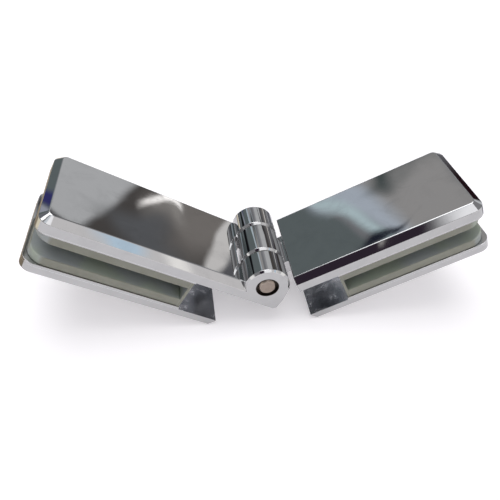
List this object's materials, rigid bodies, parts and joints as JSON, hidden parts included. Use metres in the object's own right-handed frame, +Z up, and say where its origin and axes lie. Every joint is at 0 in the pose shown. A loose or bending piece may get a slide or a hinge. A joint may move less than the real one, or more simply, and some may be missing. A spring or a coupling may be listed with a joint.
{
  "type": "glass to glass hinge",
  "caption": "Folding glass-to-glass door hinge: two chromed clamp leaves with soft gaskets for glass panels, joined by a knuckle barrel and pin.",
  "frame": {"origin": "bottom centre of the bounding box, on the surface that the half-open hinge stands on", "axes": "+X across the two leaves, from the two-knuckle leaf to the one-knuckle leaf; +Y along the hinge pin, away from the viewer; +Z up"},
  "size_m": [0.1682, 0.04, 0.0532],
  "materials": {
    "chrome_plate": "mirror-polished chrome plating on cast zinc alloy",
    "gasket_rubber": "translucent grey-green PVC, satin",
    "clamp_screw_steel": "stainless steel, machined",
    "nylon": "natural white nylon",
    "pin_steel": "turned stainless steel with a warm tone",
    "set_screw_steel": "blackened steel"
  },
  "bodies": {
    "left_leaf": {"left_front_leaf": "chrome_plate", "left_back_plate": "chrome_plate", "left_front_gasket": "gasket_rubber", "left_back_gasket": "gasket_rubber", "left_edge_gasket": "gasket_rubber", "left_inner_clamp_screw": "clamp_screw_steel", "left_outer_clamp_screw": "clamp_screw_steel", "left_inner_glass_sleeve": "nylon", "left_outer_glass_sleeve": "nylon", "hinge_pin": "pin_steel", "near_pin_set_screw": "set_screw_steel", "far_pin_set_screw": "set_screw_steel"},
    "right_leaf": {"right_front_leaf": "chrome_plate", "right_back_plate": "chrome_plate", "right_front_gasket": "gasket_rubber", "right_back_gasket": "gasket_rubber", "right_edge_gasket": "gasket_rubber", "right_inner_clamp_screw": "clamp_screw_steel", "right_outer_clamp_screw": "clamp_screw_steel", "right_inner_glass_sleeve": "nylon", "right_outer_glass_sleeve": "nylon", "near_pin_bush": "nylon", "far_pin_bush": "nylon"}
  },
  "joints": [
    {"name": "hinge_fold", "type": "hinge", "parent": "left_leaf", "child": "right_leaf", "pos_m": [0, 0, 0.01855], "axis": [0, -1, 0], "range_deg": [-55.6, 124.4]}
  ]
}
